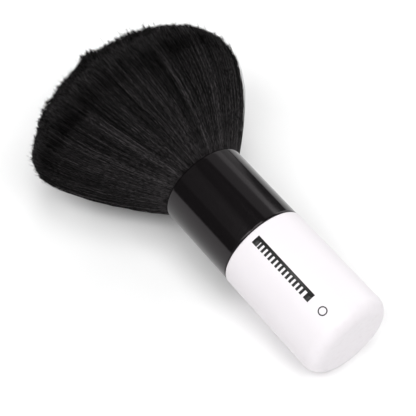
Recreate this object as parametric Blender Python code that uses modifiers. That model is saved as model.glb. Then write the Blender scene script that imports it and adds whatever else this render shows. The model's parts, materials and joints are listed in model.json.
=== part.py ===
"""Neck duster: the soft brush a barber sweeps cut hair off a neck with.

A white moulded handle, a gloss black metal ferrule and a wide fan of fine black nylon filament. It is
modelled lying on a table as it is put down between customers: the heel of the handle and the belly of
the fan touch the table, and the fan is pressed a little flat. Every piece is drawn upright on its own
axis, with z = 0 at the flat end of the handle, and then hangs from one empty that lays the brush down.
"""

import math

import bmesh
import bpy

MM = 0.001

# Sizes that can be set one by one, in metres and degrees.
HANDLE_DIAMETER = 34.0 * MM
HANDLE_LENGTH = 47.2 * MM
HANDLE_WALL = 2.6 * MM
HANDLE_FLOOR = 4.0 * MM
HEEL_RADIUS = 5.3 * MM  # rounding between the side and the flat end
SHOULDER_RADIUS = 0.5 * MM  # rounding of the handle's open end, beside the ferrule

FERRULE_STEP = 0.25 * MM  # how far the ferrule stands in from the side of the handle
FERRULE_LENGTH = 34.2 * MM
FERRULE_WALL = 0.8 * MM
LIP_ROLL = 0.65 * MM  # how far the mouth of the ferrule is rolled inwards

SPIGOT_DEPTH = 12.0 * MM  # how far the joint sleeve reaches into the handle
SLEEVE_WALL = 2.6 * MM
GROOVE_WIDTH = 2.4 * MM
GROOVE_DEPTH = 1.0 * MM

WEIGHT_HEIGHT = 10.0 * MM
WEIGHT_MARGIN = 1.6 * MM  # from the weight's side to the handle's bore

CUP_DEPTH = 16.7 * MM
CUP_WALL = 1.4 * MM
CUP_FLOOR = 1.6 * MM
RESIN_HEIGHT = 6.0 * MM
BINDING_WIDTH = 3.0 * MM
BINDING_THICKNESS = 1.0 * MM

FAN_WIDTH = 88.8 * MM  # across the table
FAN_FLATNESS = 0.755  # height of the fan over its width
RIM_HEIGHT = 38.8 * MM  # from the mouth of the ferrule to the widest ring of the fan
CROWN_HEIGHT = 66.7 * MM  # from the mouth of the ferrule to the top of the dome
FLARE_CURVE = 1.58  # of the upper flank: 1 is straight, more bends out sooner
BELLY_CURVE = 1.2  # the same for the flank that faces the table
DOME_FULLNESS = 1.71  # 2 is an ellipse, less is more pointed
FAN_LIFT = 2.1  # degrees by which the table pushes the fan up
TABLE_PRESS = 1.95 * MM  # how much of the belly the table flattens

# Clearances.
GAP = 0.3 * MM  # between neighbours that touch on the real brush
FAN_FOOT = 0.4 * MM  # from the mouth of the ferrule to the first ring of the fan
FAN_OVERHANG = 0.5 * MM  # by which that ring is already wider than the mouth
MERGE = 0.00002

# Facets.
TURN_STEPS = 64
FAN_STEPS = 48
FLANK_RINGS = 12
DOME_RINGS = 14

# Radii and heights that follow.
handle_radius = HANDLE_DIAMETER / 2
bore_radius = handle_radius - HANDLE_WALL
ferrule_radius = handle_radius - FERRULE_STEP
tube_radius = ferrule_radius - FERRULE_WALL
lip_radius = tube_radius - LIP_ROLL
ferrule_base = HANDLE_LENGTH + GAP
mouth = ferrule_base + FERRULE_LENGTH
cup_top = mouth - 2 * LIP_ROLL - 1.0 * MM
cup_base = cup_top - CUP_DEPTH
cup_radius = tube_radius - GAP
well_radius = cup_radius - CUP_WALL
well_floor = cup_base + CUP_FLOOR
resin_base = well_floor + GAP
resin_top = resin_base + RESIN_HEIGHT
root_radius = well_radius - BINDING_THICKNESS - 2 * GAP
root_base = resin_top + GAP
binding_base = root_base + 1.2 * MM
sleeve_base = HANDLE_LENGTH - SPIGOT_DEPTH
sleeve_top = cup_base - GAP
spigot_radius = bore_radius - GAP
collar_radius = tube_radius - GAP
sleeve_bore = spigot_radius - SLEEVE_WALL
foot_radius = lip_radius + FAN_OVERHANG
rim_radius = FAN_WIDTH / 2


def clear_scene():
    for old in list(bpy.data.objects):
        bpy.data.objects.remove(old)


def material(name, colour, roughness, metallic=0.0):
    made = bpy.data.materials.new(name)
    made.use_nodes = True
    shader = made.node_tree.nodes["Principled BSDF"]
    shader.inputs["Base Color"].default_value = (*colour, 1.0)
    shader.inputs["Roughness"].default_value = roughness
    shader.inputs["Metallic"].default_value = metallic
    return made


def add(name, mesh, finish):
    """An object in the brush's collection, hung from the empty that lays the brush down."""
    piece = bpy.data.objects.new(name, mesh)
    piece.data.materials.append(finish)
    piece.parent = axis
    brush.objects.link(piece)
    for face in piece.data.polygons:
        face.use_smooth = True
    return piece


def turned(name, outline, finish, ring=False):
    """A turned piece: its half section, given as (radius, height) pairs, spun about the brush's axis.

    A ring's section is a closed loop that stays off the axis. Any other starts and ends on the axis."""
    mesh = bpy.data.meshes.new(name)
    points = [(radius, 0.0, height) for radius, height in outline]
    edges = [(i, i + 1) for i in range(len(points) - 1)]
    if ring:
        edges.append((len(points) - 1, 0))
    mesh.from_pydata(points, edges, [])
    piece = add(name, mesh, finish)
    spin = piece.modifiers.new("spin", "SCREW")
    spin.axis = "Z"
    spin.angle = math.tau
    spin.steps = TURN_STEPS
    spin.render_steps = TURN_STEPS
    spin.use_merge_vertices = True
    spin.merge_threshold = MERGE
    spin.use_smooth_shade = True
    return piece


def arc(centre, radius, start, end, steps):
    """Points of a circular arc in the half section. Angles are in degrees, 0 points away from the axis."""
    return oval_arc(centre, (radius, radius), start, end, steps)


def oval_arc(centre, radii, start, end, steps):
    """The same for an upright oval, whose two radii lie across and along the axis."""
    points = []
    for i in range(steps + 1):
        angle = math.radians(start + (end - start) * i / steps)
        out = centre[0] + radii[0] * math.cos(angle)
        points.append((out, centre[1] + radii[1] * math.sin(angle)))
    return points


clear_scene()
brush = bpy.data.collections.new("neck_duster")
bpy.context.scene.collection.children.link(brush)
axis = bpy.data.objects.new("brush_axis", None)
brush.objects.link(axis)

white_plastic = material("white_plastic", (0.86, 0.85, 0.86), 0.42)
black_metal = material("black_metal", (0.012, 0.012, 0.013), 0.16, 0.0)
grey_plastic = material("grey_plastic", (0.30, 0.31, 0.32), 0.55)
cup_plastic = material("cup_plastic", (0.06, 0.06, 0.065), 0.5)
bright_steel = material("bright_steel", (0.62, 0.62, 0.60), 0.32, 1.0)
clear_glue = material("clear_glue", (0.72, 0.66, 0.50), 0.25)
grey_glue = material("grey_glue", (0.55, 0.52, 0.46), 0.3)
amber_resin = material("amber_resin", (0.42, 0.25, 0.08), 0.2)
black_thread = material("black_thread", (0.03, 0.03, 0.03), 0.8)
black_nylon = material("black_nylon", (0.02, 0.018, 0.018), 0.6)

# The handle is a moulded cup, open towards the ferrule.
shoulder = (handle_radius - SHOULDER_RADIUS, HANDLE_LENGTH - SHOULDER_RADIUS)
heel = (handle_radius - HEEL_RADIUS, HEEL_RADIUS)
turned(
    "handle_shell",
    [(0.0, HANDLE_FLOOR), (bore_radius, HANDLE_FLOOR), (bore_radius, HANDLE_LENGTH)]
    + arc(shoulder, SHOULDER_RADIUS, 90, 0, 4)
    + arc(heel, HEEL_RADIUS, 0, -90, 12)
    + [(0.0, 0.0)],
    white_plastic,
)

# A steel slug at the bottom of the handle brings the balance into the palm.
weight_radius = bore_radius - WEIGHT_MARGIN
weight_base = HANDLE_FLOOR + GAP
weight_top = weight_base + WEIGHT_HEIGHT
bevel = 0.8 * MM
turned(
    "counterweight",
    [
        (0.0, weight_top),
        (weight_radius - bevel, weight_top),
        (weight_radius, weight_top - bevel),
        (weight_radius, weight_base + bevel),
        (weight_radius - bevel, weight_base),
        (0.0, weight_base),
    ],
    bright_steel,
)

# The joint sleeve: a thin spigot down into the handle and a wider collar up into the ferrule.
# Each has a groove for a bead of glue.
spigot_groove = HANDLE_LENGTH - SPIGOT_DEPTH / 2
collar_groove = (HANDLE_LENGTH + sleeve_top) / 2
half_groove = GROOVE_WIDTH / 2
turned(
    "joint_sleeve",
    [
        (sleeve_bore, sleeve_top),
        (collar_radius, sleeve_top),
        (collar_radius, collar_groove + half_groove),
        (collar_radius - GROOVE_DEPTH, collar_groove + half_groove),
        (collar_radius - GROOVE_DEPTH, collar_groove - half_groove),
        (collar_radius, collar_groove - half_groove),
        (collar_radius, ferrule_base),
        (spigot_radius, ferrule_base),
        (spigot_radius, spigot_groove + half_groove),
        (spigot_radius - GROOVE_DEPTH, spigot_groove + half_groove),
        (spigot_radius - GROOVE_DEPTH, spigot_groove - half_groove),
        (spigot_radius, spigot_groove - half_groove),
        (spigot_radius, sleeve_base),
        (sleeve_bore, sleeve_base),
    ],
    grey_plastic,
    ring=True,
)


def glue_bead(name, outer_radius, sleeve_radius, height, finish):
    """A flat ring of set glue that fills a groove of the sleeve, one clearance from every wall."""
    inner = sleeve_radius - GROOVE_DEPTH + GAP
    outer = outer_radius - GAP
    reach = half_groove - GAP
    top, bottom = height + reach, height - reach
    turned(name, [(inner, top), (outer, top), (outer, bottom), (inner, bottom)], finish, ring=True)


glue_bead("handle_glue_bead", bore_radius, spigot_radius, spigot_groove, clear_glue)
glue_bead("ferrule_glue_bead", tube_radius, collar_radius, collar_groove, grey_glue)

# The ferrule: a drawn tube whose mouth is rolled inwards to a smooth lip.
lip_centre = (lip_radius + FERRULE_WALL, mouth - FERRULE_WALL)
lip_reach = ferrule_radius - lip_centre[0]
ferrule_edge = 0.2 * MM
turned(
    "ferrule",
    [
        (tube_radius, ferrule_base),
        (tube_radius, mouth - FERRULE_WALL - 2 * LIP_ROLL),
        (lip_radius, mouth - FERRULE_WALL - LIP_ROLL / 2),
    ]
    + arc(lip_centre, FERRULE_WALL, 180, 105, 5)
    + oval_arc(lip_centre, (lip_reach, FERRULE_WALL), 90, 0, 6)
    + [(ferrule_radius, ferrule_base + ferrule_edge), (ferrule_radius - ferrule_edge, ferrule_base)],
    black_metal,
    ring=True,
)

# The cup that holds the knot of filament inside the ferrule.
turned(
    "knot_cup",
    [
        (0.0, well_floor),
        (well_radius, well_floor),
        (well_radius, cup_top),
        (cup_radius, cup_top),
        (cup_radius, cup_base),
        (0.0, cup_base),
    ],
    cup_plastic,
)

# The puck of resin that the filament roots are set in.
resin_radius = well_radius - GAP
turned(
    "root_resin",
    [(0.0, resin_top), (resin_radius, resin_top), (resin_radius, resin_base), (0.0, resin_base)],
    amber_resin,
)

# The thread wound round the roots before they are glued.
thread_radius = root_radius + GAP
thread_middle = binding_base + BINDING_WIDTH / 2
thread_half = BINDING_THICKNESS / 2
thread_rows = 3
thread_pitch = BINDING_WIDTH / thread_rows
thread_outline = [(thread_radius, binding_base + BINDING_WIDTH)]
for row in range(thread_rows):
    top = binding_base + BINDING_WIDTH - row * thread_pitch
    for part in (0.15, 0.35, 0.5, 0.65, 0.85):
        swell = thread_half + thread_half * math.sin(math.pi * part)
        thread_outline.append((thread_radius + swell, top - part * thread_pitch))
thread_outline.append((thread_radius, binding_base))
turned("binding_thread", thread_outline, black_thread, ring=True)


def flank_ring(part):
    """(half width, height above the mouth, turn) round the flank, at this part of the way to the rim.

    The half width grows as 1 - (1 - part) ** curve. The curve changes round the fan, because the belly
    is pushed straight by the table while the top arches freely."""
    height = FAN_FOOT + (RIM_HEIGHT - FAN_FOOT) * part
    ring = []
    for i in range(FAN_STEPS):
        turn = math.tau * i / FAN_STEPS
        facing_table = (1 + math.sin(turn)) / 2
        curve = FLARE_CURVE + (BELLY_CURVE - FLARE_CURVE) * facing_table
        grown = 1 - (1 - part) ** curve
        ring.append((foot_radius + (rim_radius - foot_radius) * grown, height, turn))
    return ring


def dome_ring(angle):
    """The same on the dome, from 0 degrees at the rim to 90 at the crown."""
    power = 2 / DOME_FULLNESS
    half_width = rim_radius * math.cos(math.radians(angle)) ** power
    height = RIM_HEIGHT + (CROWN_HEIGHT - RIM_HEIGHT) * math.sin(math.radians(angle)) ** power
    return [(half_width, height, math.tau * i / FAN_STEPS) for i in range(FAN_STEPS)]


def fan_ring(outline):
    """The points of one ring before the table touches them. Local +y faces the table.

    A ring is round at the mouth and flattens as it widens, and the whole fan leans away from the table."""
    ring = []
    for half_width, height, turn in outline:
        flared = 1.0 if height > RIM_HEIGHT else (half_width - lip_radius) / (rim_radius - lip_radius)
        x = half_width * math.cos(turn)
        y = half_width * (1 - (1 - FAN_FLATNESS) * flared) * math.sin(turn)
        lean = math.radians(FAN_LIFT) * min(1.0, height / (0.8 * handle_radius))
        leaning_y = y * math.cos(lean) - height * math.sin(lean)
        leaning_z = y * math.sin(lean) + height * math.cos(lean)
        ring.append((x, leaning_y, mouth + leaning_z))
    return ring


def root_ring(radius, height):
    """One round ring of the roots, inside the ferrule."""
    ring = []
    for i in range(FAN_STEPS):
        angle = math.tau * i / FAN_STEPS
        ring.append((radius * math.cos(angle), radius * math.sin(angle), height))
    return ring


def axis_height(tilt):
    """Height of the brush's axis above the table at the handle's end, when the heel rests on the table."""
    return HEEL_RADIUS * (1 - math.sin(tilt)) + (handle_radius - HEEL_RADIUS) * math.cos(tilt)


def above_table(point, tilt):
    return axis_height(tilt) + point[2] * math.sin(tilt) - point[1] * math.cos(tilt)


def resting_tilt(rings):
    """The angle at which the belly, let down with the heel on the table, is pressed by TABLE_PRESS."""
    low, high = 0.0, math.radians(30)
    for _ in range(50):
        tilt = (low + high) / 2
        if min(above_table(point, tilt) for ring in rings for point in ring) > -TABLE_PRESS:
            high = tilt
        else:
            low = tilt
    return high


def pressed(point, tilt):
    """The point, or where the table pushes it to if it would be below."""
    depth = min(0.0, above_table(point, tilt))
    return (point[0], point[1] + depth * math.cos(tilt), point[2] - depth * math.sin(tilt))


fan_rings = [fan_ring(flank_ring(i / FLANK_RINGS)) for i in range(FLANK_RINGS)]
fan_rings += [fan_ring(dome_ring(90 * i / DOME_RINGS)) for i in range(DOME_RINGS)]
tilt = resting_tilt(fan_rings)
fan_rings = [[pressed(point, tilt) for point in ring] for ring in fan_rings]
root_rings = [
    root_ring(root_radius, root_base),
    root_ring(root_radius, binding_base + BINDING_WIDTH + 2 * GAP),
    root_ring(well_radius - GAP, cup_top),
    root_ring(lip_radius - GAP, mouth - 0.5 * MM),
]
lean = math.radians(FAN_LIFT)
crown = (0.0, -CROWN_HEIGHT * math.sin(lean), mouth + CROWN_HEIGHT * math.cos(lean))


def lofted(name, rings, start, end, finish):
    """A closed body through rings of equal count, shut by a fan of triangles to a point at either end."""
    shape = bmesh.new()
    loops = [[shape.verts.new(point) for point in ring] for ring in rings]
    first = shape.verts.new(start)
    last = shape.verts.new(end)
    count = len(rings[0])
    for i in range(count):
        j = (i + 1) % count
        shape.faces.new((first, loops[0][j], loops[0][i]))
        shape.faces.new((last, loops[-1][i], loops[-1][j]))
        for lower, upper in zip(loops, loops[1:]):
            shape.faces.new((lower[i], lower[j], upper[j], upper[i]))
    mesh = bpy.data.meshes.new(name)
    shape.to_mesh(mesh)
    shape.free()
    return add(name, mesh, finish)


# The filament: a fan of nylon from the resin, through the binding and the lip, to its domed tips.
lofted("bristle_head", root_rings + fan_rings, (0.0, 0.0, root_base), crown, black_nylon)

# Lay the brush down with its head towards +y, then centre its footprint on the origin.
axis.rotation_euler = (tilt - math.pi / 2, 0.0, 0.0)
axis.location = (0.0, 0.0, axis_height(tilt))
bpy.context.view_layer.update()
reach = []
for piece in brush.objects:
    if piece.type == "MESH":
        shown = piece.evaluated_get(bpy.context.evaluated_depsgraph_get())
        reach += [(shown.matrix_world @ vertex.co).y for vertex in shown.data.vertices]
axis.location.y = -(min(reach) + max(reach)) / 2
print("tilt", round(math.degrees(tilt), 3), "degrees, length", round(max(reach) - min(reach), 5))
print("axis starts at y", round(axis.location.y, 5), "z", round(axis.location.z, 5))
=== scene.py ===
# %% [markdown]
# # A neck duster on a white table
#
# This is the brush a barber sweeps cut hair off a neck with: a white moulded handle, a gloss black
# ferrule and a wide fan of fine black nylon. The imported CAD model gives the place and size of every
# piece, and this script gives the pieces their looks, one step at a time. First come the helpers for
# meshes and finishes, then the table, the lamps and the camera. After them come the handle, its
# printed mark, the ferrule, the parts inside, and last the thousands of filaments.

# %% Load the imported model
import json
import math

import bpy
import numpy as np
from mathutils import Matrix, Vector


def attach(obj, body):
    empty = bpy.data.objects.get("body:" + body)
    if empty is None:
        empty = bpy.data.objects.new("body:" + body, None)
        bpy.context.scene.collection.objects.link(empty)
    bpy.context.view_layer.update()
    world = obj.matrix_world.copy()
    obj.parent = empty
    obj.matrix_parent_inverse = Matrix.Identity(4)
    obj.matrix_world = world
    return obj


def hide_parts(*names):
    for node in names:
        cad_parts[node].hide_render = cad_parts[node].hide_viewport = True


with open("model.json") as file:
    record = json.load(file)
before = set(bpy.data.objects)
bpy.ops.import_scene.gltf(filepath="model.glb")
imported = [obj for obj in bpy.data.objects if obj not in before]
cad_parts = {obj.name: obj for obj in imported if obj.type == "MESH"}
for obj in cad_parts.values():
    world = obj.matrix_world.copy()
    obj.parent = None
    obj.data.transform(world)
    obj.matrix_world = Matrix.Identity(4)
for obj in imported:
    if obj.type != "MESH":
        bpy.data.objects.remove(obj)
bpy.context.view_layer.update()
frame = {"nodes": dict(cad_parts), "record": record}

MM = 0.001

# %% [markdown]
# ## The brush's own axis
#
# All of the brush but its fan is turned about one line. That line leans a little, because the brush
# lies on its heel and on the belly of the fan. It would be hard to work out shapes along a leaning
# line, so every piece is worked out upright and then carried to its place by one function. Upright, z
# runs from the end of the handle to the crown of the fan, and y points at the table. The record's
# mount on the flat end of the handle holds one point of the line and its direction.

# %% Carry upright points to their place
end_mount = frame["record"]["mounts"][0]
handle_end = np.array(end_mount["pos_m"])
toward_head = -np.array(end_mount["axis"])
across = np.array([1.0, 0.0, 0.0])
toward_table = np.cross(toward_head, across)
lean = math.asin(toward_head[2])
print("the axis leans by", round(math.degrees(lean), 2), "degrees")


def laid_down(points):
    """World points from upright ones: handle end + x * across + y * toward table + z * toward head."""
    points = np.asarray(points, float)
    x, y, z = (points[..., k, None] for k in range(3))
    return handle_end + x * across + y * toward_table + z * toward_head


# %% [markdown]
# ## Sizes read from the model
#
# Writing the handle's length here a second time would let the two files drift apart. The corners of
# the CAD pieces say how far each one reaches along the axis and how far it stands off it.

# %% Measure the turned pieces


def corners_of(node):
    """The corners of a CAD piece as (along the axis, distance from the axis)."""
    mesh = frame["nodes"][node].data
    corners = np.empty(len(mesh.vertices) * 3, np.float32)
    mesh.vertices.foreach_get("co", corners)
    offset = corners.reshape(-1, 3).astype(float) - handle_end
    along = offset @ toward_head
    return along, np.linalg.norm(offset - along[:, None] * toward_head, axis=1)


AT_THE_END = 0.01 * MM
handle_along, handle_off = corners_of("handle_shell")
ferrule_along, ferrule_off = corners_of("ferrule")
handle_length, handle_radius = handle_along.max(), handle_off.max()
ferrule_base, mouth, ferrule_radius = ferrule_along.min(), ferrule_along.max(), ferrule_off.max()
bore_radius = handle_off[handle_along > handle_length - AT_THE_END].min()
lip_radius = ferrule_off.min()
print("handle", round(handle_length / MM, 2), "long,", round(2 * handle_radius / MM, 2), "across")
print("ferrule from", round(ferrule_base / MM, 2), "to", round(mouth / MM, 2))
print("ferrule", round(2 * ferrule_radius / MM, 2), "across, mouth", round(2 * lip_radius / MM, 2))

# %% [markdown]
# ## Meshes from arrays
#
# Blender can build a mesh corner by corner with bmesh, but tens of thousands of filaments would take
# minutes that way. Here numpy works out all corners and all faces at once, and the mesh takes the
# finished arrays. The volume that the faces enclose tells whether they point outwards.

# %% A mesh from arrays of points and faces


def mesh_of(name, points, quads, triangles):
    """A closed mesh whose faces point outwards.

    The volume is a sixth of the sum, over all triangles, of first corner . (second x third). It comes
    out negative when the faces point inwards, and then each face is turned round."""
    halves = np.concatenate([quads[:, [0, 1, 2]], quads[:, [0, 2, 3]], triangles])
    centred = points - points.mean(axis=0)
    first, second, third = (centred[halves[:, k]] for k in range(3))
    if np.einsum("ij,ij->", first, np.cross(second, third)) < 0:
        quads, triangles = quads[:, ::-1], triangles[:, ::-1]
    sizes = np.repeat([4, 3], [len(quads), len(triangles)])
    mesh = bpy.data.meshes.new(name)
    mesh.vertices.add(len(points))
    mesh.vertices.foreach_set("co", points.ravel().astype(np.float32))
    mesh.loops.add(int(sizes.sum()))
    corners = np.concatenate([quads.ravel(), triangles.ravel()])
    mesh.loops.foreach_set("vertex_index", corners.astype(np.int32))
    mesh.polygons.add(len(sizes))
    mesh.polygons.foreach_set("loop_start", (np.cumsum(sizes) - sizes).astype(np.int32))
    mesh.polygons.foreach_set("use_smooth", np.ones(len(sizes), bool))
    mesh.update(calc_edges=True)
    return mesh


NO_TRIANGLES = np.empty((0, 3), int)


def grid_faces(rows, columns, loop_rows=False):
    """Four-cornered faces between the neighbours of a grid whose last column joins its first."""
    i = np.arange(rows if loop_rows else rows - 1)[:, None]
    j = np.arange(columns)[None, :]
    after_i, after_j = (i + 1) % rows, (j + 1) % columns
    corners = [i * columns + j, i * columns + after_j, after_i * columns + after_j, after_i * columns + j]
    return np.stack(np.broadcast_arrays(*corners), axis=-1).reshape(-1, 4)


# %% [markdown]
# ## Closed skins from a grid
#
# A turned part could be a profile under a Screw modifier, but its corners would then not be there to
# work on. A grid does the same: each row is one ring of the piece. An open end is shut by a fan of
# triangles to the middle of its last ring, and a tube's last ring joins its first instead.

# %% Grid and turned pieces


def grid_mesh(name, points, tube=False):
    """A closed skin over a (rows, columns, 3) grid. Its ends are shut, unless it is a tube with a bore."""
    rows, columns = points.shape[:2]
    quads = grid_faces(rows, columns, loop_rows=tube)
    flat = points.reshape(-1, 3)
    if tube:
        return mesh_of(name, flat, quads, NO_TRIANGLES)
    ring = np.arange(columns)
    after = (ring + 1) % columns
    first_hub, last_hub = len(flat), len(flat) + 1
    last_ring = (rows - 1) * columns
    start = np.stack([np.full(columns, first_hub), after, ring], axis=-1)
    end = np.stack([np.full(columns, last_hub), last_ring + ring, last_ring + after], axis=-1)
    flat = np.vstack([flat, points[0].mean(axis=0), points[-1].mean(axis=0)])
    return mesh_of(name, flat, quads, np.vstack([start, end]))


TURNED_COLUMNS = 192


def turned_mesh(name, profile, tube=False):
    """A profile of (radius, height) rows carried round the axis: x = r cos a, y = r sin a, z = height."""
    profile = np.asarray(profile, float)
    angle = np.linspace(0, 2 * np.pi, TURNED_COLUMNS, endpoint=False)
    x = profile[:, 0, None] * np.cos(angle)
    y = profile[:, 0, None] * np.sin(angle)
    z = np.repeat(profile[:, 1, None], TURNED_COLUMNS, axis=1)
    return grid_mesh(name, laid_down(np.stack([x, y, z], axis=-1)), tube)


def quarter(centre, radius, start, end, steps):
    """Profile rows on a circle, centre + radius * (cos, sin). 0 degrees points away from the axis."""
    angle = np.radians(np.linspace(start, end, steps))
    return np.stack([centre[0] + radius * np.cos(angle), centre[1] + radius * np.sin(angle)], axis=-1)


def straight(radius, start, end, steps):
    """Profile rows down a straight side."""
    return np.stack([np.full(steps, radius), np.linspace(start, end, steps)], axis=-1)


def place_piece(mesh, finish, node=None):
    """An object for the mesh, with its finish and its body. The CAD piece it stands for is hidden."""
    piece = bpy.data.objects.new(mesh.name, mesh)
    mesh.materials.append(finish)
    bpy.context.scene.collection.objects.link(piece)
    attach(piece, "root")
    if node:
        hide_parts(node)
    print(mesh.name, len(mesh.polygons), "faces")
    return piece


# %% [markdown]
# ## Shader maths as Python
#
# A finish is a sum: noise times a strength, plus a base, under a mask. Drawn as nodes it fills a
# screen. A small class wraps a socket and lets Python's own operators add the Math nodes, so that a
# finish reads as the formula it is.

# %% A socket that does sums


class Value:
    """A socket of a node tree. Sums with numbers or other Values add Math nodes."""

    def __init__(self, nodes, socket):
        self.nodes, self.socket = nodes, socket

    def math(self, operation, first, second):
        return self.nodes.add("ShaderNodeMath", {"operation": operation}, {0: first, 1: second})

    def __add__(self, other):
        return self.math("ADD", self, other)

    def __sub__(self, other):
        return self.math("SUBTRACT", self, other)

    def __rsub__(self, other):
        return self.math("SUBTRACT", other, self)

    def __mul__(self, other):
        return self.math("MULTIPLY", self, other)

    __radd__ = __add__
    __rmul__ = __mul__

    def part(self, name):
        """Another output of the same node."""
        return Value(self.nodes, self.socket.node.outputs[name])


# %% [markdown]
# ## One way to add a node
#
# Every node of every finish, and of the room, goes through `add`: its type, its settings, and the
# values or links of its sockets. Numbers go in as they are, and Values are linked.

# %% The node maker


class Nodes:
    """A node tree, of a material or of the room."""

    def __init__(self, tree):
        self.tree = tree

    def feed(self, socket, value):
        if isinstance(value, Value):
            self.tree.links.new(value.socket, socket)
        else:
            socket.default_value = value

    def add(self, kind, settings, inputs, output=0):
        """A node of this type. Its settings come first, because they can change its sockets."""
        node = self.tree.nodes.new(kind)
        for name, value in settings.items():
            setattr(node, name, value)
        for name, value in inputs.items():
            self.feed(node.inputs[name], value)
        return Value(self, node.outputs[output])

    def span(self, value, low, high, out_low=0.0, out_high=1.0):
        """value from low to high, turned into out_low to out_high and held there outside."""
        inputs = {"Value": value, "From Min": low, "From Max": high, "To Min": out_low, "To Max": out_high}
        return self.add("ShaderNodeMapRange", {"clamp": True}, inputs)


# %% [markdown]
# ## A finish is a material with its nodes
#
# The methods are short names for the few nodes that most finishes need. `upright` undoes the lean of
# the brush with a Mapping node, so a pattern can follow the axis of a turned part.

# %% The finish maker


class Finish(Nodes):
    """A material, and the nodes that feed its shader."""

    def __init__(self, name, **constants):
        self.material = bpy.data.materials.new(name)
        self.material.use_nodes = True
        super().__init__(self.material.node_tree)
        self.shader = self.tree.nodes["Principled BSDF"]
        self.set(**constants)

    def set(self, **values):
        """Shader sockets by name, with _ for a space: a number or colour is set, and a Value is linked."""
        for name, value in values.items():
            self.feed(self.shader.inputs[name.replace("_", " ")], value)
        return self

    def place(self):
        return self.add("ShaderNodeTexCoord", {}, {}, "Object")

    def upright(self, scale=(1.0, 1.0, 1.0)):
        """Object coordinates turned back so that z runs along the brush, then stretched."""
        turn_back = {"Location": tuple(handle_end), "Rotation": (lean - math.pi / 2, 0.0, 0.0)}
        inputs = {"Vector": self.place(), **turn_back}
        turned = self.add("ShaderNodeMapping", {"vector_type": "TEXTURE"}, inputs)
        return self.add("ShaderNodeMapping", {}, {"Vector": turned, "Scale": scale})

    def noise(self, where, scale, detail=3.0, roughness=0.5):
        """A cloud of values round 0.5; scale is the number of clouds in a metre."""
        inputs = {"Vector": where, "Scale": scale, "Detail": detail, "Roughness": roughness}
        return self.add("ShaderNodeTexNoise", {}, inputs)

    def sine(self, value):
        return self.add("ShaderNodeMath", {"operation": "SINE"}, {0: value})

    def blend(self, mask, first, second):
        """The first colour where mask is 0 and the second where it is 1."""
        return self.add("ShaderNodeMix", {"data_type": "RGBA"}, {"Factor": mask, 6: first, 7: second}, 2)

    def bump(self, height, strength, distance):
        """A normal from a height: distance is how deep, in metres, a height of 1 is."""
        inputs = {"Height": height, "Strength": strength, "Distance": distance}
        return self.add("ShaderNodeBump", {}, inputs)


def grey(level, warmth=0.0):
    """A near neutral colour: red a little over and blue a little under the level for a warm one."""
    return (level * (1 + warmth), level, level * (1 - warmth), 1.0)


# %% [markdown]
# ## The table
#
# The brush lies on a round table, matt white and wide enough to hold its whole shadow. A plain white
# material would do, but a faint mottling keeps it from looking like empty paper under the shadow.

# %% White table


def table_white():
    finish = Finish("table_white", **{"Roughness": 0.75, "Specular IOR Level": 0.2})
    mottle = finish.noise(finish.place(), 60.0, 4.0)
    return finish.set(Base_Color=finish.blend(mottle, grey(0.93), grey(0.95))).material


TABLE_RADIUS = 0.62
TABLE_SIDES = 96
TABLE_DROP = 0.05 * MM
table_turn = np.linspace(0, 2 * np.pi, TABLE_SIDES, endpoint=False)
rim = np.stack([np.cos(table_turn), np.sin(table_turn), np.zeros(TABLE_SIDES)], axis=-1) * TABLE_RADIUS
sheet = bpy.data.meshes.new("table")
sheet.from_pydata((rim - [0, 0, TABLE_DROP]).tolist(), [], [tuple(range(TABLE_SIDES))])
sheet.materials.append(table_white())
table = bpy.data.objects.new("table", sheet)
bpy.context.scene.collection.objects.link(table)
print("table", 2 * TABLE_RADIUS, "m across")

# %% [markdown]
# ## Soft lamps all round
#
# Black gloss shows every lamp as a stripe, and a white handle shows where the light is weak. Three
# strong lamps at the camera's height fill the front and the left, one hangs overhead, and the strong
# low ones light the far edges. The weak ones are there for the ferrule alone: `grey_band` and
# `low_back_right` draw its dark grey bands, and `low_left` and `back_left_fill` keep the shadow side
# from going black. All lamps are squares that face the brush from the same distance, so a row of
# numbers each is enough: azimuth and height in degrees, side in metres and power in watts.
#
# Past the table the camera should see plain white, but a white room would wash the black gloss out.
# So the room is white for rays that come straight from the camera and nearly dark for all others.

# %% Lamps and room
LAMP_DISTANCE, AIM_HEIGHT = 1.2, 0.02
LAMPS = {
    "low_right": (0, 20, 0.85, 4.60),
    "low_back_right": (45, 20, 0.85, 1.20),
    "low_back": (90, 20, 0.85, 3.85),
    "low_left": (180, 20, 0.85, 0.70),
    "grey_band": (36, 43, 0.80, 0.82),
    "back_left_fill": (145, 48, 0.85, 0.27),
    "left": (180, 52, 0.62, 3.90),
    "camera_side": (225, 52, 0.62, 5.15),
    "front_right": (270, 52, 0.62, 5.30),
    "overhead": (0, 90, 0.50, 3.07),
}


def square_lamp(name, azimuth, height, side, power):
    """A lamp at distance * (cos h cos a, cos h sin a, sin h) from the brush, turned towards it."""
    a, h = math.radians(azimuth), math.radians(height)
    outward = Vector((math.cos(h) * math.cos(a), math.cos(h) * math.sin(a), math.sin(h)))
    light = bpy.data.lights.new(name, "AREA")
    light.shape, light.size, light.energy = "SQUARE", side, power
    lamp = bpy.data.objects.new(name, light)
    lamp.location = Vector((0, 0, AIM_HEIGHT)) + LAMP_DISTANCE * outward
    lamp.rotation_euler = (-outward).to_track_quat("-Z", "Y").to_euler()
    lamp.visible_camera = False
    bpy.context.scene.collection.objects.link(lamp)


for name, numbers in LAMPS.items():
    square_lamp(name, *numbers)

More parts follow.
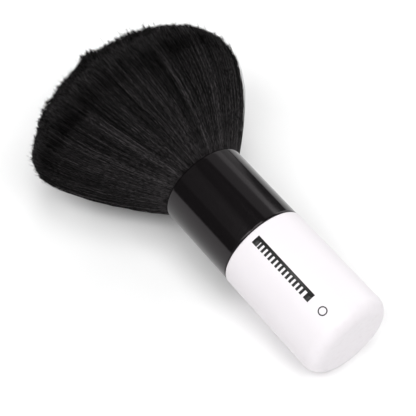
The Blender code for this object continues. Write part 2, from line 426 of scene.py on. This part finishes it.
ROOM_LIGHT = 0.05
room = bpy.data.worlds.new("pale_room")
room.use_nodes = True
sky, room_nodes = room.node_tree.nodes["Background"], Nodes(room.node_tree)
from_camera = room_nodes.add("ShaderNodeLightPath", {}, {}, "Is Camera Ray")
room_nodes.feed(sky.inputs["Color"], (1.0, 1.0, 1.0, 1.0))
room_nodes.feed(sky.inputs["Strength"], room_nodes.span(from_camera, 0.0, 1.0, ROOM_LIGHT, 1.0))
bpy.context.scene.world = room
bpy.context.scene.view_settings.view_transform = "Standard"
bpy.context.scene.view_settings.look = "None"
print(len(LAMPS), "lamps,", round(sum(row[3] for row in LAMPS.values()), 1), "watts")

# %% [markdown]
# ## The camera
#
# It looks down at about 48 degrees over the end of the handle, from half a metre away. A long lens
# keeps the handle and the fan in nearly the same scale.

# %% Camera
CAMERA_PLACE = (-0.19444, -0.24589, 0.37017)
CAMERA_TILT, CAMERA_TURN = math.radians(41.786), math.radians(-37.705)
lens = bpy.data.cameras.new("camera")
lens.lens, lens.sensor_width = 112.5, 36.0
lens.clip_start, lens.clip_end = 0.01, 20.0
camera = bpy.data.objects.new("camera", lens)
camera.location = CAMERA_PLACE
camera.rotation_euler = (CAMERA_TILT, 0.0, CAMERA_TURN)
bpy.context.scene.collection.objects.link(camera)
bpy.context.scene.camera = camera
print("camera", round(math.dist(CAMERA_PLACE, (0, 0, 0)), 2), "m away")

# %% [markdown]
# ## The handle
#
# A moulded cup of white plastic, open towards the ferrule, with a generous radius at the heel where it
# sits in the palm. The CAD piece has the right sizes but flat facets, which a smooth plastic shows at
# its outline. The same half section with three times the rings gives clean curves. The extra rows
# beside each rounding keep the straight side and the flat end evenly lit.

# %% Handle shape
HEEL_RADIUS = 5.3 * MM
SHOULDER_RADIUS = 0.5 * MM
HANDLE_FLOOR = 4.0 * MM
UNDER_SHOULDER, OVER_HEEL, INSIDE_HEEL = 1.2 * MM, 0.3 * MM, 0.4 * MM
heel = (handle_radius - HEEL_RADIUS, HEEL_RADIUS)
shoulder = (handle_radius - SHOULDER_RADIUS, handle_length - SHOULDER_RADIUS)
handle_profile = np.vstack(
    [
        [(0.5 * bore_radius, HANDLE_FLOOR), (bore_radius, HANDLE_FLOOR), (bore_radius, handle_length)],
        quarter(shoulder, SHOULDER_RADIUS, 90, 0, 8),
        straight(handle_radius, handle_length - UNDER_SHOULDER, HEEL_RADIUS + OVER_HEEL, 12),
        quarter(heel, HEEL_RADIUS, 0, -90, 28),
        [(heel[0] - INSIDE_HEEL, 0.0), (0.5 * heel[0], 0.0)],
    ]
)
print("handle profile", len(handle_profile), "rows")

# %% [markdown]
# ## The handle's finish
#
# Injection-moulded plastic with a satin surface: a very fine grain from the mould, broad faint
# differences in how white it is, and streaks near the heel and round the shoulder that are a little
# darker and rougher. The streaks are a mask on the height along the brush, broken up by noise.

# %% Handle finish
HEEL_STREAK_REACH, SHOULDER_STREAK_REACH = 6.0 * MM, 1.5 * MM


def handle_white():
    finish = Finish("handle_white")
    grain = finish.noise(finish.place(), 2600.0, 2.0)
    cloud = finish.noise(finish.place(), 70.0, 3.0)
    streaks = finish.noise(finish.upright((1.0, 1.0, 0.12)), 420.0, 3.0)
    height = finish.add("ShaderNodeSeparateXYZ", {}, {0: finish.upright()}, "Z")
    near_heel = finish.span(height, HEEL_STREAK_REACH, 0.0)
    near_shoulder = finish.span(height, float(handle_length) - SHOULDER_STREAK_REACH, float(handle_length))
    # Streaks near the heel and round the shoulder, a little darker and rougher.
    darker_streaks = (near_heel + near_shoulder) * finish.span(streaks, 0.5, 0.75)
    plain_white = finish.blend(cloud, (0.802, 0.768, 0.796, 1), (0.832, 0.798, 0.826, 1))
    return finish.set(
        Base_Color=finish.blend(darker_streaks * 0.35, plain_white, (0.72, 0.68, 0.70, 1)),
        Roughness=finish.span(grain + cloud, 0.7, 1.3, 0.38, 0.46) + darker_streaks * 0.12,
        Normal=finish.bump(grain + streaks * 0.3, 0.05, 0.0002),
    ).material


place_piece(turned_mesh("handle_body", handle_profile), handle_white(), "handle_shell")

# %% [markdown]
# ## The printed mark
#
# The handle is pad printed along its side. The print here is a plain barber's comb and a small open
# ring, a picture rather than words. It could be a mask in the handle's finish, but thin raised bars
# keep their edges sharp at any size. Each bar is a small slab bent round the handle: its length runs
# along the brush, its width round it, and it stands a few hundredths of a millimetre proud.

# %% Comb and ring
TO_THE_TOP, THEN_LEFT = -90.0, 27.4
PRINT_TURN = math.radians(TO_THE_TOP - THEN_LEFT)
PRINT_PROUD = 0.03 * MM
PRINT_SUNK = 0.02 * MM
COMB_START, COMB_END = 15.1 * MM, 44.4 * MM
COMB_WIDTH = 3.4 * MM
SPINE_WIDTH = 1.15 * MM
TEETH = 13
BROAD_TOOTH, FINE_START, FINE_END = 1.3, 0.05, 0.5
BAR_STEPS = 5


def slabs(lows, highs, steps=BAR_STEPS):
    """Bars bent round the handle: (points, quads) for arrays of low and high (height, arc) corners.

    Each bar is a grid of a few steps along the arc, at two depths and two heights. A point at arc
    length s stands at the angle print turn + s / handle radius."""
    count = len(lows)
    share = np.linspace(0, 1, steps)
    arc = lows[:, 1, None] + (highs[:, 1] - lows[:, 1])[:, None] * share
    turn = (PRINT_TURN + arc / handle_radius)[:, :, None]
    inner, outer = handle_radius - PRINT_SUNK, handle_radius + PRINT_PROUD
    radius = np.array([inner, outer, outer, inner])[None, None, :]
    low, high = lows[:, 0, None, None], highs[:, 0, None, None]
    height = np.concatenate([low, low, high, high], axis=2) + np.zeros((1, steps, 1))
    section = np.stack(np.broadcast_arrays(radius * np.cos(turn), radius * np.sin(turn), height), axis=-1)
    ring = grid_faces(steps, 4)
    ends = np.array([[0, 1, 2, 3], [4 * steps - 1, 4 * steps - 2, 4 * steps - 3, 4 * steps - 4]])
    one = np.vstack([ring, ends])
    first = (np.arange(count) * steps * 4)[:, None, None]
    return laid_down(section).reshape(-1, 3), (one[None] + first).reshape(-1, 4)


def comb_bars():
    """Low and high corners of the comb's bars: a spine, two broad end teeth and a row of fine ones."""
    half = COMB_WIDTH / 2
    pitch = (COMB_END - COMB_START) / (TEETH + 3)
    fine = COMB_START + pitch * (2 + np.arange(TEETH))
    gum = half - SPINE_WIDTH
    lows = [(COMB_START, gum), (COMB_START, -half), (COMB_END - BROAD_TOOTH * pitch, -half)]
    highs = [(COMB_END, half), (COMB_START + BROAD_TOOTH * pitch, gum), (COMB_END, gum)]
    lows += [(start - FINE_START * pitch, -half) for start in fine]
    highs += [(start + FINE_END * pitch, gum) for start in fine]
    return np.array(lows), np.array(highs)


def print_black():
    finish = Finish("print_black")
    speckle = finish.noise(finish.place(), 3000.0, 2.0)
    return finish.set(
        Base_Color=finish.blend(speckle, grey(0.004), grey(0.012)),
        Roughness=finish.span(speckle, 0.3, 0.7, 0.45, 0.6),
    ).material


ink = print_black()
comb_points, comb_quads = slabs(*comb_bars())
place_piece(mesh_of("printed_comb", comb_points, comb_quads, NO_TRIANGLES), ink)
print("comb from", round(COMB_START / MM, 1), "to", round(COMB_END / MM, 1), "mm along the handle")

# %% [markdown]
# ## The printed ring
#
# The ring is a flat band round a small circle on the handle's side. Its four-cornered section is
# carried round the circle and bent to the handle like the bars of the comb.

# %% Ring
RING_MIDDLE = 9.3 * MM
RING_RADIUS = 1.45 * MM
RING_STROKE = 0.42 * MM
RING_STEPS = 64
swing = np.linspace(0, 2 * np.pi, RING_STEPS, endpoint=False)[None, :]
reach = np.array([-0.5, 0.5, 0.5, -0.5])[:, None] * RING_STROKE + RING_RADIUS
depth = np.array([-PRINT_SUNK, -PRINT_SUNK, PRINT_PROUD, PRINT_PROUD])[:, None] + handle_radius
turn = PRINT_TURN + reach * np.cos(swing) / handle_radius
ring_height = RING_MIDDLE + reach * np.sin(swing)
ring_grid = laid_down(np.stack([depth * np.cos(turn), depth * np.sin(turn), ring_height], axis=-1))
place_piece(grid_mesh("printed_ring", ring_grid, tube=True), ink)

# %% [markdown]
# ## The ferrule
#
# A drawn metal tube, lacquered gloss black, whose mouth is rolled inwards so that it can't cut the
# filaments. The roll is what catches the light next to the hair, so it gets a dozen rows of its own.
# The finish is nearly a black mirror. What makes it metal and not glass is the faint lengthwise
# unevenness from drawing and a little dust in the lacquer, both only in roughness and bump.

# %% Ferrule
WALL = 0.8 * MM
UNDER_ROLL, OVER_EDGE, EDGE = 0.8 * MM, 0.6 * MM, 0.2 * MM
tube_radius = ferrule_radius - WALL
roll = (lip_radius + WALL, mouth - WALL)
outer_roll = quarter(roll, WALL, 90, 0, 10)
outer_roll[:, 0] = roll[0] + (outer_roll[:, 0] - roll[0]) * (ferrule_radius - roll[0]) / WALL
ferrule_profile = np.vstack(
    [
        [(tube_radius, ferrule_base), (tube_radius, mouth - 3 * WALL), (lip_radius, mouth - 1.5 * WALL)],
        quarter(roll, WALL, 180, 99, 8),
        outer_roll,
        straight(ferrule_radius, mouth - WALL - UNDER_ROLL, ferrule_base + OVER_EDGE, 8),
        [(ferrule_radius, ferrule_base + EDGE), (ferrule_radius - EDGE, ferrule_base)],
    ]
)


def ferrule_black():
    gloss = {"Specular IOR Level": 0.36, "Specular Tint": (1.0, 0.92, 0.96, 1.0)}
    finish = Finish("ferrule_black", **gloss)
    dust = finish.noise(finish.place(), 1800.0, 2.0)
    drawn = finish.noise(finish.upright((1.0, 1.0, 0.03)), 500.0, 3.0)
    return finish.set(
        Base_Color=finish.blend(dust, (0.0040, 0.0034, 0.0037, 1), (0.0062, 0.0052, 0.0057, 1)),
        Roughness=finish.span(dust * 0.4 + drawn * 0.6, 0.35, 0.65, 0.09, 0.15),
        Normal=finish.bump(drawn, 0.04, 0.0001),
    ).material


ferrule_tube = turned_mesh("ferrule_tube", ferrule_profile, tube=True)
place_piece(ferrule_tube, ferrule_black(), "ferrule")

# %% [markdown]
# ## Parts inside
#
# The weight, the joint sleeve, the glue, the cup and the bound roots are shut inside and keep their CAD
# shapes. They still get true finishes, because a cutaway or a taken-apart view shows them. One
# function makes a moulded or set material from two colours, a grain and a roughness. Two parts need
# more: the turned steel has rings from the lathe, and the thread has the twist of its strands.

# %% Plain finishes for the inside
LATHE_STEP, THREAD_STEP, STRANDS = 0.25 * MM, 0.5 * MM, 220.0


def mixed_finish(name, first, second, grain, rough, depth):
    """A cast or moulded material: two colours under a coarse noise, and a fine grain in the surface."""
    finish = Finish(name)
    clouds = finish.noise(finish.place(), grain / 8, 4.0)
    fine = finish.noise(finish.place(), grain, 2.0)
    finish.set(
        Base_Color=finish.blend(finish.span(clouds, 0.35, 0.65), first, second),
        Roughness=finish.span(fine, 0.3, 0.7, rough - 0.05, rough + 0.05),
        Normal=finish.bump(fine, 0.1, depth),
    )
    return finish.material


def turned_steel():
    """Bright steel with rings: a wave on the distance from the axis, sqrt(x * x + y * y)."""
    finish = Finish("turned_steel", Metallic=1.0)
    where = finish.upright((1.0, 1.0, 0.0))
    off_axis = finish.add("ShaderNodeVectorMath", {"operation": "LENGTH"}, {0: where}, "Value")
    rings = finish.sine(off_axis * (2 * math.pi / LATHE_STEP))
    stain = finish.noise(finish.place(), 140.0, 4.0)
    return finish.set(
        Base_Color=finish.blend(stain, grey(0.60, 0.02), grey(0.50, 0.05)),
        Roughness=finish.span(stain + rings * 0.1, 0.3, 0.8, 0.24, 0.38),
        Normal=finish.bump(rings, 0.15, 0.02 * MM),
    ).material


def waxed_thread():
    """Thread whose twist shows as slanting ridges: a sine of the height plus the turn round the axis."""
    finish = Finish("waxed_thread")
    parts = finish.add("ShaderNodeSeparateXYZ", {}, {0: finish.upright()}, "X")
    around = finish.add("ShaderNodeMath", {"operation": "ARCTAN2"}, {0: parts.part("Y"), 1: parts})
    ridge = finish.sine(around * STRANDS + parts.part("Z") * (2 * math.pi / THREAD_STEP))
    fluff = finish.noise(finish.place(), 2500.0, 3.0)
    return finish.set(
        Base_Color=finish.blend(finish.span(ridge + fluff, -0.5, 1.5), grey(0.012), grey(0.05)),
        Roughness=finish.span(fluff, 0.3, 0.7, 0.6, 0.85),
        Normal=finish.bump(ridge + fluff, 0.4, 0.05 * MM),
    ).material


# %% Hand the finishes out
amber = (0.34, 0.17, 0.045, 1), (0.50, 0.30, 0.10, 1)
clear, clouded = (grey(0.62, 0.12), grey(0.76, 0.10)), (grey(0.44, 0.05), grey(0.58, 0.04))
inner_finishes = {
    "counterweight": turned_steel(),
    "joint_sleeve": mixed_finish("sleeve_grey", grey(0.27), grey(0.33), 1600.0, 0.52, 0.00005),
    "handle_glue_bead": mixed_finish("clear_glue", *clear, 900.0, 0.22, 0.00008),
    "ferrule_glue_bead": mixed_finish("grey_glue", *clouded, 1100.0, 0.33, 0.00008),
    "knot_cup": mixed_finish("cup_black", grey(0.045), grey(0.07), 1800.0, 0.48, 0.00004),
    "root_resin": mixed_finish("resin_amber", *amber, 700.0, 0.16, 0.00006),
    "binding_thread": waxed_thread(),
}
for node, material in inner_finishes.items():
    frame["nodes"][node].data.materials[0] = material
print(len(inner_finishes), "inner parts finished")

# %% [markdown]
# ## The shape of the fan
#
# The filaments leave the mouth of the ferrule in a round bundle, spread to a flattened fan and end on a
# shallow dome. One formula gives the centre line of any filament from its spot on the knot, a point
# in a disc of radius 1. Blender's own hair could grow these strands, but its particles have to be
# turned into meshes before they can leave Blender, and a formula for the lines is shorter and gives
# the same result every time.
#
# A real fan isn't cut or spread quite evenly. Two tables go round it in sixteen steps, starting at
# its right edge and passing the table side first: how much longer or shorter than the formula the
# filaments are, and how much wider or narrower they spread.

# %% Centre lines
FAN_HALF_WIDTH = 44.4 * MM
FAN_FLATNESS = 0.755
RIM_HEIGHT = 38.8 * MM
CROWN_HEIGHT = 66.7 * MM
FLARE_CURVE = 1.58
BELLY_CURVE = 1.2
DOME_FULLNESS = 1.71
FAN_LIFT = math.radians(2.1)
LIFT_REACH = 0.8  # as a share of the handle's radius
FLAT_SLOPE, FLAT_START = 2.2, 1.2
ROOT_HEIGHT = -0.5 * MM
ROOT_MARGIN = 0.15 * MM
PAST_TIP = 0.25
CUT_SHARES = np.array([56, 0, 0, 0, 0, 0, 9, 46, 6, 13, -23, 20, -3, 4, 0, 38]) / 1000
SPREAD_SHARES = np.array([17, 0, 0, 0, 0, 0, -34, 17, -8, -36, 6, -3, -15, 40, -25, -39]) / 1000
SHARE_TURNS = np.arange(16) * 22.5
print("cut from", CUT_SHARES.min(), "to", CUT_SHARES.max(), "of a filament's length")


def share_at(spots, shares):
    """A table of shares, one for every 22.5 degrees round the fan, read at these spots.

    It is m * the share between the two nearest angles, so it is 0 in the middle of the fan."""
    turn = np.degrees(np.arctan2(spots[:, 1], spots[:, 0]))
    return np.interp(turn, SHARE_TURNS, shares, period=360) * np.hypot(spots[:, 0], spots[:, 1])


def fan_lines(spots, part, scale=1.0):
    """Upright (filaments, steps, 3) points of centre lines, at shares part of the way to their tips.

    A spot at distance m from the middle ends where m ** fullness + (height over the rim) ** fullness
    is 1, both as shares of the dome. Its distance from the axis grows on the way as
    1 - (1 - part) ** curve, where the curve grows from the axis to the flank and falls from top to
    belly. A filament longer than the even ones goes on past that tip, nearly along the axis."""
    m = np.hypot(spots[:, 0], spots[:, 1])
    direction = spots / np.maximum(m, 1e-9)[:, None]
    m = np.clip(m, 0, 1)[:, None]
    dome = (1 - m**DOME_FULLNESS) ** (1 / DOME_FULLNESS)
    tip_height = (RIM_HEIGHT + (CROWN_HEIGHT - RIM_HEIGHT) * dome) * scale
    facing_table = (1 + direction[:, 1, None]) / 2
    flank = FLARE_CURVE + (BELLY_CURVE - FLARE_CURVE) * facing_table
    curve = 1 + (flank - 1) * m**2
    root = (lip_radius - ROOT_MARGIN) * m
    grown = 1 - (1 - np.minimum(part, 1.0)) ** curve
    wide = FAN_HALF_WIDTH * scale * m * (1 + share_at(spots, SPREAD_SHARES))[:, None]
    radius = root + (wide - root) * (grown + PAST_TIP * np.maximum(part - 1, 0))
    height = ROOT_HEIGHT + (tip_height - ROOT_HEIGHT) * part
    return settled(direction[:, 0, None] * radius, direction[:, 1, None] * radius, radius, height)


def settled(x, y, radius, height):
    """Round fan points made flat and lifted.

    y is multiplied by 1 - (1 - flatness) * share, where the share goes from 0 to 1 as the fan widens
    and rises. Then all of it is turned about x by the lift, which also comes in on the way up."""
    wide = np.clip((radius - lip_radius) / (FAN_HALF_WIDTH - lip_radius), 0, 1)
    high = np.clip(height / RIM_HEIGHT * FLAT_SLOPE - FLAT_START, 0, 1)
    y = y * (1 - (1 - FAN_FLATNESS) * np.maximum(wide, high))
    lift = FAN_LIFT * np.clip(height / (LIFT_REACH * handle_radius), 0, 1)
    lifted_y = y * np.cos(lift) - height * np.sin(lift)
    lifted_z = y * np.sin(lift) + height * np.cos(lift)
    return np.stack([x, lifted_y, mouth + lifted_z], axis=-1)


SOFTNESS = 0.5 * MM
FAR_ABOVE = 29.0  # so many softnesses over the table the logarithm is z itself


def on_table(points, clearance):
    """World points, with the belly let down on the table.

    z becomes clearance + softness * log(1 + exp(z / softness)), which is never below the clearance."""
    rested = points.copy()
    ratio = np.minimum(points[..., 2] / SOFTNESS, FAR_ABOVE + 1)
    soft = SOFTNESS * np.log1p(np.exp(ratio))
    rested[..., 2] = clearance + np.where(ratio < FAR_ABOVE, soft, points[..., 2])
    return rested


# %% [markdown]
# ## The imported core
#
# A real brush has many thousands of filaments, but only the outermost are ever seen. Below them the
# bundle is one dark mass. A closed core a few millimetres under the surface stands for that mass, so
# that the drawn filaments can all be spent where they show. It follows the same formula and the same
# uneven cut, so it stays the same depth below the tips everywhere.

# %% Core
CORE_SHARE = 0.93
CORE_SCALE = 0.97
CORE_COLUMNS, FLANK_ROWS, DOME_ROWS = 120, 24, 16
CORE_CLEARANCE = 0.3 * MM
core_turn = np.linspace(0, 2 * np.pi, CORE_COLUMNS, endpoint=False)
rim_spots = np.stack([np.cos(core_turn), np.sin(core_turn)], axis=-1)
flank_part = np.linspace(0, 1, FLANK_ROWS)[None, :]


def core_row(m, part):
    """Core points over a ring of spots at distance m from the middle, as (points, steps, 3)."""
    spots = rim_spots * CORE_SHARE * m
    cut = part * (1 + share_at(spots, CUT_SHARES))[:, None]
    return fan_lines(spots, cut, CORE_SCALE)


flank_rows = core_row(1.0, flank_part).transpose(1, 0, 2)
dome_share = np.cos(np.linspace(0, np.pi / 2, DOME_ROWS + 2)[1:-1])
dome_rows = np.stack([core_row(m, np.ones((1, 1)))[:, 0] for m in dome_share])
core_points = on_table(laid_down(np.concatenate([flank_rows, dome_rows])), CORE_CLEARANCE)


def core_dark():
    finish = Finish("core_dark", **{"Specular IOR Level": 0.1})
    ends = finish.noise(finish.place(), 4200.0, 2.0)
    return finish.set(
        Base_Color=finish.blend(finish.span(ends, 0.4, 0.7), grey(0.002), grey(0.012, 0.03)),
        Roughness=finish.span(ends, 0.3, 0.7, 0.75, 0.95),
        Normal=finish.bump(ends, 0.6, 0.1 * MM),
    ).material


place_piece(grid_mesh("filament_core", core_points), core_dark(), "bristle_head")

# %% [markdown]
# ## Where the filaments stand
#
# The flank is drawn with filaments from the outer edge of the knot, whole from ferrule to tip. The
# dome is drawn with the last stretch of filaments from the whole disc. Both gather in small wisps, as
# nylon does when it is brushed: each filament is pulled a little towards the middle of its nearest
# wisp, more so near the tip. Wisps in turn belong to broad locks, which lean together. Every filament
# has its own length, thickness and tone, small kinks along its way and a tip that may stick out, and
# about one in a hundred is a stray that leans out of its wisp. Without these the fan looks combed.

# %% Scatter
draw = np.random.default_rng(7)
BLOCK = 2000


def scattered(count, inner):
    """Spots spread evenly over the ring of the unit disc outside the inner radius."""
    m = np.sqrt(draw.uniform(inner**2, 1, count))
    turn = draw.uniform(0, 2 * np.pi, count)
    return np.stack([m * np.cos(turn), m * np.sin(turn)], axis=-1)


def nearest(spots, centres):
    """For each spot, the index of the nearest centre, a block of spots at a time."""
    found = np.empty(len(spots), int)
    for first in range(0, len(spots), BLOCK):
        block = spots[first : first + BLOCK, None]
        away = ((block - centres[None]) ** 2).sum(axis=-1)
        found[first : first + BLOCK] = away.argmin(axis=1)
    return found


# %% [markdown]
# ## Small random steps
#
# Each way in which filaments differ is a draw from a bell curve or an even spread. The numbers below
# say how far such a draw reaches: for lengths as a share of the filament, and for places in
# millimetres. What a lock or wisp draws holds for every filament in it, which is what makes it show.

# %% Gather
LOCKS = 160
STRAY_SHARE = 0.012
LOCK_LENGTH, WISP_LENGTH, CUT_BACK, STRAY_LENGTH = 0.005, 0.008, 0.012, 0.02
LOCK_LEAN, WISP_LEAN, OWN_LEAN, STRAY_LEAN = 0.35 * MM, 0.30 * MM, 0.15 * MM, 0.7 * MM
KINK, STICK_OUT = 0.17 * MM, 0.35 * MM
LOCK_TONE, WISP_TONE, OWN_TONE = 0.08, 0.36, 0.56
GATHER_CURVE, KINK_RISE, TIP_CURVE = 1.3, 4, 10


def gathered(count, inner, part, wisps, pull):
    """World centre lines, tones and spots of filaments that gather in wisps, and wisps in locks.

    A line is as long as its wisp, less a little of its own. It moves pull * part ** 1.3 of the way to
    the wisp's line, and three small leans, its lock's, its wisp's and its own, grow with part ** 1.3
    too. Every point is kinked a little, and the tip sticks out by a random step * part ** 10."""
    spots, centres = scattered(count, inner), scattered(wisps, inner)
    wisp = nearest(spots, centres)
    lock = nearest(centres, scattered(LOCKS, inner))[wisp]
    stray = draw.uniform(0, 1, count) < STRAY_SHARE
    longer = 1 + share_at(spots, CUT_SHARES) + draw.normal(0, WISP_LENGTH, wisps)[wisp]
    longer = longer - draw.uniform(0, CUT_BACK, count)
    longer += draw.normal(0, LOCK_LENGTH, LOCKS)[lock] + stray * draw.uniform(0, STRAY_LENGTH, count)
    part = part[None, :] * longer[:, None]
    later = (part**GATHER_CURVE)[..., None]
    lines = fan_lines(spots, part)
    strength = draw.uniform(0.4, 1.0, wisps)[wisp] * pull
    lines += (fan_lines(centres[wisp], part) - lines) * (strength[:, None, None] * later)
    own_lean = np.where(stray, STRAY_LEAN, OWN_LEAN)[:, None, None]
    lean_by = draw.normal(0, WISP_LEAN, (wisps, 1, 3))[wisp] + draw.normal(0, 1, (count, 1, 3)) * own_lean
    lean_by += draw.normal(0, LOCK_LEAN, (LOCKS, 1, 3))[lock]
    kink_by = draw.normal(0, KINK, lines.shape) * np.minimum(part * KINK_RISE, 1)[..., None]
    lines += lean_by * later + kink_by
    outward = spots / np.maximum(np.hypot(spots[:, 0], spots[:, 1]), 1e-9)[:, None]
    stick_out = np.abs(draw.normal(0, STICK_OUT, count))[:, None] * part**TIP_CURVE
    lines[..., :2] += stick_out[..., None] * outward[:, None]
    shade = LOCK_TONE * draw.uniform(0, 1, LOCKS)[lock] + WISP_TONE * draw.uniform(0, 1, wisps)[wisp]
    shade += OWN_TONE * draw.uniform(0, 1, count)
    return laid_down(lines), shade, spots


# %% [markdown]
# ## Filaments as meshes
#
# Each filament is a three-sided tube that thins towards its tip, which at a seventh of a millimetre
# across looks as round as any. Its UV map says which filament and which part of it a face belongs to:
# u is the filament's tone and v runs from root to tip. Many filaments share a stripe of the map, and
# because the finish reads only that map, a texture baked from it is right for all of them.
#
# The corners stand round the line on two directions at right angles to it. They come from cross
# products with one fixed direction. It is set off the axis of the brush, because the filaments in the
# middle run along that axis and their cross products with it would vanish.

# %% Tubes along lines
OFF_AXIS = toward_head + 0.3 * across
TIP_THINNING = 0.35
TONE_COLUMNS = 48
COLUMN_REACH, EDGE_RISE = 0.3, 0.004
MAP_MARGIN = 0.01


def tubes(name, lines, thickness, shade, part):
    """Three-sided tubes round (filaments, steps, 3) lines: line + r * (cos t * side + sin t * other)."""
    count, steps = lines.shape[:2]
    tangent = np.gradient(lines, axis=1)
    tangent /= np.linalg.norm(tangent, axis=-1, keepdims=True)
    side = np.cross(tangent, OFF_AXIS)
    side /= np.linalg.norm(side, axis=-1, keepdims=True)
    other = np.cross(tangent, side)
    turn = draw.uniform(0, 2 * np.pi, count)[:, None, None] + np.array([0, 2, 4]) * np.pi / 3
    radius = thickness[:, None, None] * (1 - TIP_THINNING * part[None, :, None] ** 4)
    ring = (radius * np.cos(turn))[..., None] * side[:, :, None]
    ring = ring + (radius * np.sin(turn))[..., None] * other[:, :, None]
    points = (lines[:, :, None] + ring).reshape(-1, 3)
    one = grid_faces(steps, 3)
    first = (np.arange(count) * steps * 3)[:, None, None]
    quads = (one[None] + first).reshape(-1, 4)
    caps = np.array([[2, 1, 0], [3 * steps - 3, 3 * steps - 2, 3 * steps - 1]])
    caps = (caps[None] + first).reshape(-1, 3)
    mesh = mesh_of(name, points, quads, caps)
    map_filaments(mesh, steps, shade, part)
    return mesh


def map_filaments(mesh, steps, shade, part):
    """u is the middle of the filament's tone column, give or take a third of its width, and v is part."""
    corner = np.empty(len(mesh.loops), np.int32)
    mesh.loops.foreach_get("vertex_index", corner)
    filament, within = np.divmod(corner, steps * 3)
    row, edge = np.divmod(within, 3)
    column = np.clip(np.round(shade * (TONE_COLUMNS - 1)), 0, TONE_COLUMNS - 1)
    u = (column[filament] + 0.5 + (edge - 1) * COLUMN_REACH) / TONE_COLUMNS
    v = MAP_MARGIN + (1 - 2 * MAP_MARGIN) * part[row] + np.where(edge == 1, EDGE_RISE, 0.0)
    layer = mesh.uv_layers.new(name="OFBake", do_init=False)
    layer.data.foreach_set("uv", np.stack([u, v], axis=-1).ravel().astype(np.float32))


# %% [markdown]
# ## The nylon
#
# Matt black nylon is never quite black: a filament scatters a little warm grey. Light and shade are
# painted on that grey. It looks lightest near the ferrule, where the fan lies open to the light, the
# more so in its first few millimetres, and darkest near the rim, where the wisps shade each other. The
# tips are painted paler again, a painted highlight where the fuzzy rim catches the light. Filaments
# differ most near their tips, where they no longer lie side by side, and each one is lit in short
# stretches where it rises over its neighbours. All of it is painted along v, on the tone that u gives.
# Only the ends show on the dome, deep between one another, so they get a darker finish of their own:
# painted shade for the gaps between them.

# %% Nylon finish
STRETCHES, COLUMN_STEP = 38.0, 3.7
MIDDLE_TONE = 0.27
DEEP_BLACK, FULL_GREY = grey(0.0006), (0.086, 0.079, 0.082, 1)


def nylon_black(name, gloss, near, far):
    """Nylon that fades from near at the root to far at the tip, both shares of the full grey.

    The share is tone * stretches * fade + painted tip highlight, where the fade and the stretches are
    painted light and shade. The tone goes from the middle one to the filament's own on the way to the
    tip, and the stretches are a noise of (tone column, v)."""
    finish = Finish(name, **{"Specular IOR Level": gloss, "Roughness": 0.5})
    place = finish.add("ShaderNodeUVMap", {"uv_map": "OFBake"}, {})
    shade = finish.add("ShaderNodeSeparateXYZ", {}, {0: place}, "X")
    along = shade.part("Y")
    column = finish.add("ShaderNodeMath", {"operation": "FLOOR"}, {0: shade * TONE_COLUMNS})
    stretch = finish.add("ShaderNodeCombineXYZ", {}, {"X": column * COLUMN_STEP, "Y": along * STRETCHES})
    broken = finish.span(finish.noise(stretch, 1.0, 1.5), 0.36, 0.64, 0.0, 2.3)
    fade = finish.span(along, 0.05, 1.0, near, far) * finish.span(along, 0.0, 0.09, 1.8, 1.0)
    # Painted highlight: the last stretch of each filament is made paler, where the fuzzy rim catches the
    # light.
    painted_tip_highlight = finish.span(along, 0.975, 0.988, 0.0, 0.30)
    apart = finish.span(along, 0.0, 0.45, 0.5, 1.0)
    tone = MIDDLE_TONE + (shade * shade * shade * 1.5 - MIDDLE_TONE) * apart
    strength = tone * broken * fade + painted_tip_highlight * shade
    return finish.set(Base_Color=finish.blend(strength, DEEP_BLACK, FULL_GREY)).material


# %% [markdown]
# ## Flank and dome
#
# The flank's filaments are long and bend, so they get eight rows of corners each. The dome shows only
# ends, and three rows do. Neighbours go into one mesh, a slice of the fan each, and every mesh stays
# small enough to be handled alone.

# %% Draw the filaments
FLANK_FILAMENTS, FLANK_WISPS, FLANK_PIECES = 26000, 5000, 6
DOME_FILAMENTS, DOME_WISPS, DOME_PIECES = 48000, 6500, 4
FLANK_INNER, DOME_INNER = 0.90, 0.0
FLANK_PART = np.array([0, 0.08, 0.18, 0.31, 0.46, 0.63, 0.82, 1])
DOME_PART = np.array([0.86, 0.93, 1])
PULL = 0.6
THIN, THICK = 0.055, 0.08  # radius in millimetres
FILAMENT_CLEARANCE = 0.1 * MM
thin_out, thicken = ((1, 1.0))
flank_nylon = nylon_black("nylon_black", 0.07, 1.0, 0.40)
# Painted shade: the dome's ends get darker nylon, for the gaps deep between them.
dome_nylon = nylon_black("nylon_ends", 0.02, 0.40, 0.18)
groups = (
    ("flank", FLANK_FILAMENTS, FLANK_INNER, FLANK_PART, FLANK_PIECES, FLANK_WISPS, flank_nylon),
    ("dome", DOME_FILAMENTS, DOME_INNER, DOME_PART, DOME_PIECES, DOME_WISPS, dome_nylon),
)
for name, count, inner, part, pieces, wisps, nylon in groups:
    count = count // thin_out
    lines, shade, spots = gathered(count, inner, part, wisps, PULL)
    lines = on_table(lines, FILAMENT_CLEARANCE)
    thickness = draw.uniform(THIN, THICK, count) * MM * thicken
    order = np.argsort(np.arctan2(spots[:, 1], spots[:, 0]))
    for index, chosen in enumerate(np.array_split(order, pieces)):
        piece = f"filament_{name}_{index + 1}"
        mesh = tubes(piece, lines[chosen], thickness[chosen], shade[chosen], part)
        place_piece(mesh, nylon, "bristle_head")
    print(count, name, "filaments")
